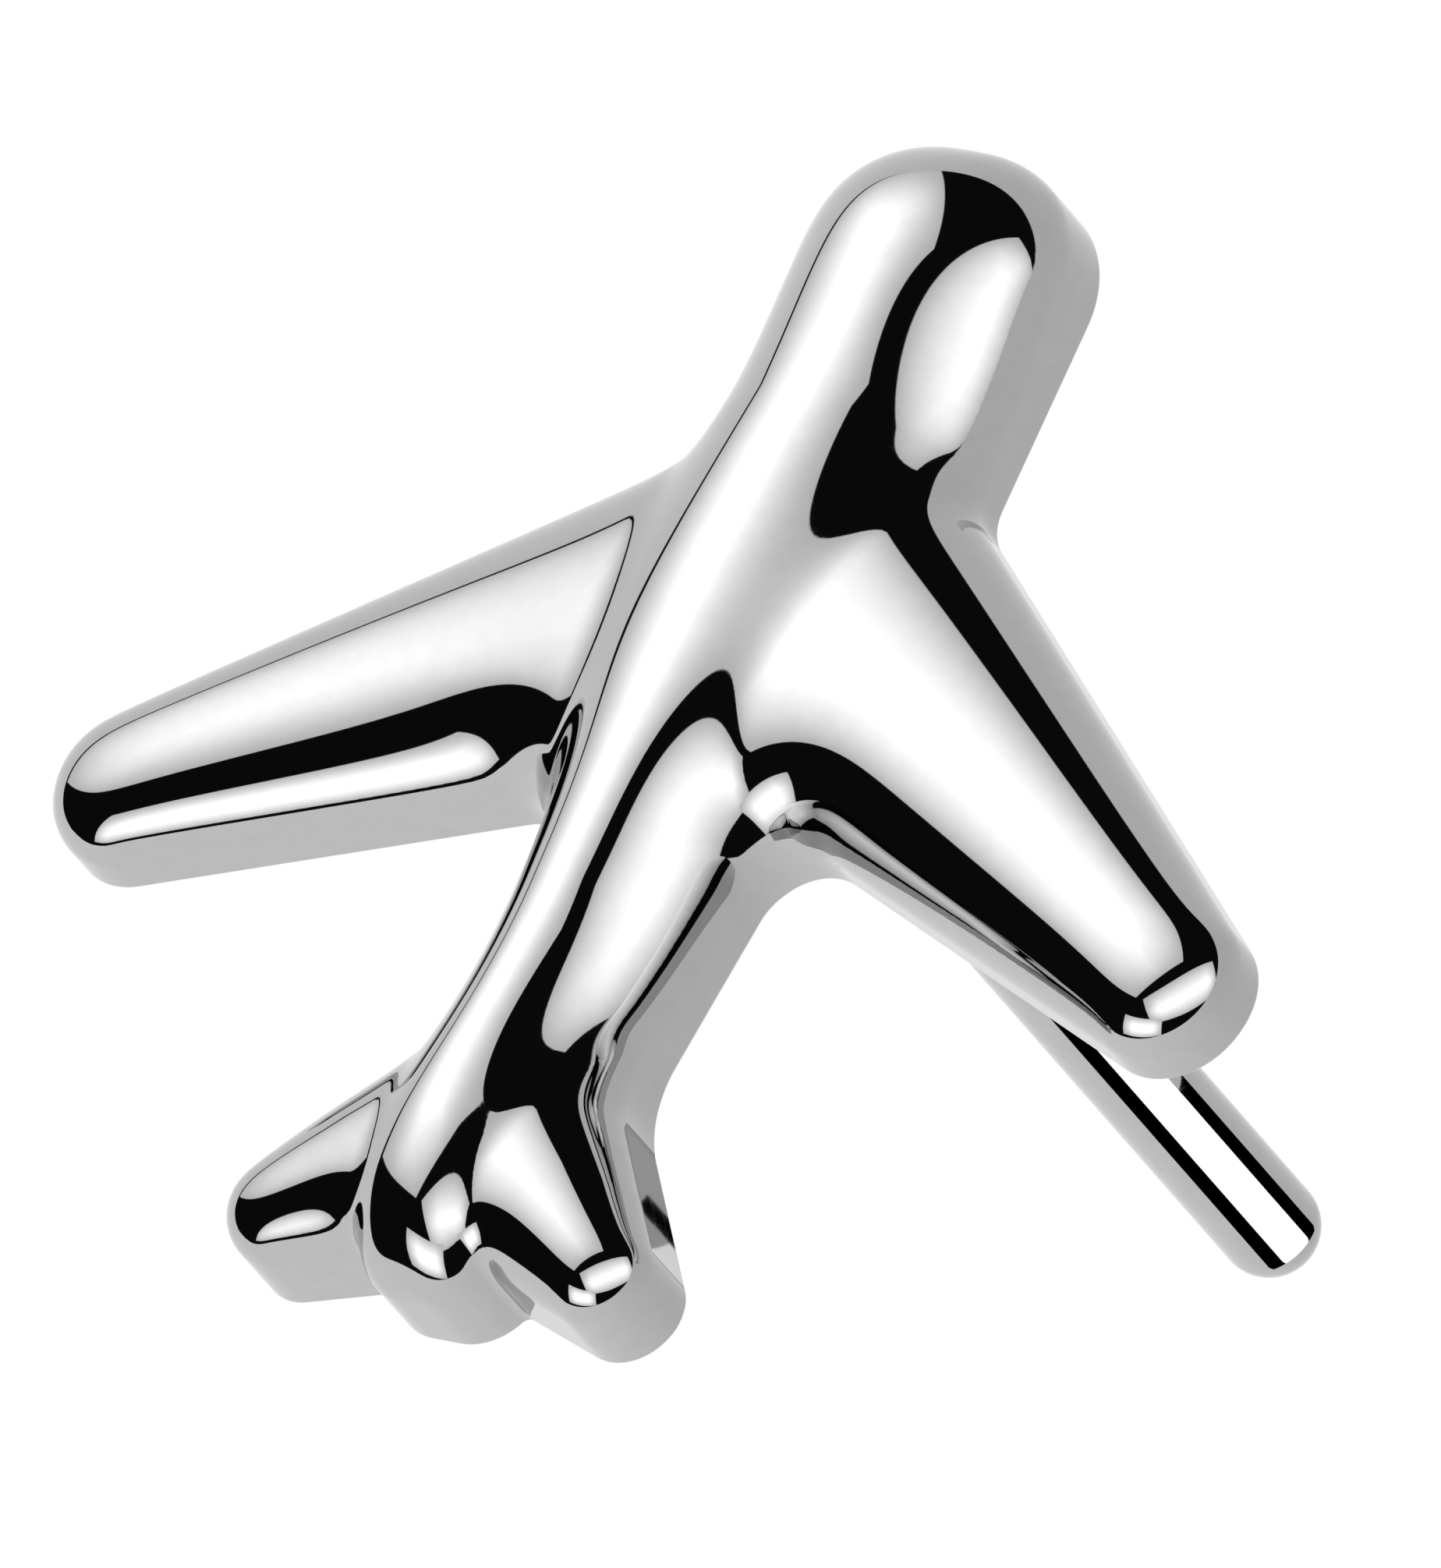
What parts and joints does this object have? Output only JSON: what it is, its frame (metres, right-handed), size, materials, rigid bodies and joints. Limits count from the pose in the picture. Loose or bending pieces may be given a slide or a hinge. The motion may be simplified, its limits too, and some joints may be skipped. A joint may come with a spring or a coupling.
{
  "type": "jewellery stud end",
  "caption": "Airplane-shaped push-fit jewellery end: a puffed, mirror-polished casting with a flat back and a plain round pin.",
  "frame": {"origin": "where the pin's axis meets the flat back of the casting", "axes": "+Z straight out of the puffed front, with the pin pointing to -Z; +Y to the airplane's nose; +X along its right wing, seen from the front with the nose up"},
  "size_m": [0.0082, 0.0074, 0.0071],
  "materials": {
    "polished_casting": "mirror polished, neutral silver, very light polishing haze",
    "polished_pin": "mirror polished drawn wire, with faint marks along its length",
    "solder": "bright, slightly rippled"
  },
  "bodies": {
    "root": {"airplane_casting": "polished_casting", "pin": "polished_pin", "solder_ring": "solder"}
  },
  "joints": []
}
